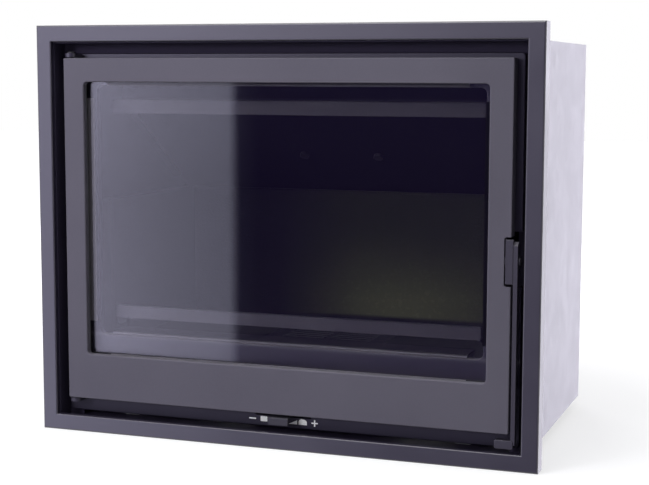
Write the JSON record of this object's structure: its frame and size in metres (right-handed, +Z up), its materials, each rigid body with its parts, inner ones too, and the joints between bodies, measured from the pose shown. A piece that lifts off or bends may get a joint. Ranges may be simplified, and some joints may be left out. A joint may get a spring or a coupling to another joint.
{
  "type": "fireplace insert",
  "caption": "Built-in wood-burning fireplace insert: slim folded trim, glazed side-hung door with lever latch, air slider, lined firebox and flue socket.",
  "frame": {"origin": "centre of the casing's underside", "axes": "+Z up; -Y out of the door, towards the room; +X to the right as seen from the room"},
  "size_m": [0.7, 0.406, 0.559],
  "materials": {
    "trim_paint": "satin anthracite",
    "door_paint": "satin anthracite",
    "frame_paint": "matt heat-proof black",
    "lever_paint": "satin anthracite",
    "slider_paint": "satin anthracite",
    "casing_zinc": "galvanised",
    "clip_zinc": "galvanised",
    "firebox_paint": "matt heat-proof black",
    "collar_paint": "matt heat-proof black",
    "baffle_steel": "matt",
    "bar_steel": "matt",
    "lining": "matt, pressed board",
    "hearth": "matt fireclay",
    "grate_iron": "as cast",
    "ash_steel": "matt",
    "air_steel": "matt",
    "pin_steel": "plain",
    "retainer_steel": "plain",
    "glass": "clear ceramic glass",
    "gasket": "woven glass tape",
    "rope": "knitted glass rope"
  },
  "bodies": {
    "insert": {"trim_frame": "trim_paint", "trim_clips": "clip_zinc", "casing_left": "casing_zinc", "casing_right": "casing_zinc", "casing_top": "casing_zinc", "casing_base": "casing_zinc", "casing_back": "casing_zinc", "front_surround": "frame_paint", "front_frame": "frame_paint", "latch_keeper": "pin_steel", "firebox_left_wall": "firebox_paint", "firebox_right_wall": "firebox_paint", "firebox_back_wall": "firebox_paint", "firebox_floor": "firebox_paint", "firebox_top": "firebox_paint", "flue_collar": "collar_paint", "collar_bolts": "pin_steel", "base_lining": "hearth", "back_lining": "lining", "left_lining": "lining", "right_lining": "lining", "baffle": "baffle_steel", "baffle_bolts": "pin_steel", "baffle_rails": "firebox_paint", "airwash_deflector": "bar_steel", "sill_plate": "bar_steel", "log_retainer_shelves": "bar_steel", "ash_box": "ash_steel", "air_box": "air_steel", "air_guides": "air_steel", "hinge_lug_upper": "frame_paint", "hinge_lug_lower": "frame_paint", "hinge_pins": "pin_steel", "hinge_washer": "pin_steel", "support_rails": "clip_zinc", "rear_spacers": "clip_zinc"},
    "door": {"door_frame": "door_paint", "door_glass": "glass", "glass_gasket": "gasket", "door_seal": "rope", "glass_retainers": "retainer_steel", "latch_pin": "pin_steel"},
    "handle": {"handle_lever": "lever_paint", "latch_hook": "pin_steel"},
    "air_slider": {"air_slider": "slider_paint"},
    "grate": {"grate": "grate_iron"},
    "log_retainer": {"log_retainer": "bar_steel"},
    "ash_pan": {"ash_pan": "ash_steel"}
  },
  "joints": [
    {"name": "door_hinge", "type": "hinge", "parent": "insert", "child": "door", "pos_m": [-0.304, -0.199, 0.26675], "axis": [0, 0, -1], "range_deg": [0, 110]},
    {"name": "handle_turn", "type": "hinge", "parent": "door", "child": "handle", "pos_m": [0.3086, -0.199, 0.25], "axis": [-1, 0, 0], "range_deg": [0, 50]},
    {"name": "air_slide", "type": "slide", "parent": "insert", "child": "air_slider", "axis": [1, 0, 0], "range_m": [-0.025, 0.025]},
    {"name": "grate_lift", "type": "slide", "parent": "ash_pan", "child": "grate", "axis": [0, 0, 1], "range_m": [0, 0.06]},
    {"name": "log_retainer_lift", "type": "slide", "parent": "insert", "child": "log_retainer", "axis": [0, 0, 1], "range_m": [0, 0.05]},
    {"name": "ash_pan_lift", "type": "slide", "parent": "insert", "child": "ash_pan", "axis": [0, 0, 1], "range_m": [0, 0.09]}
  ]
}
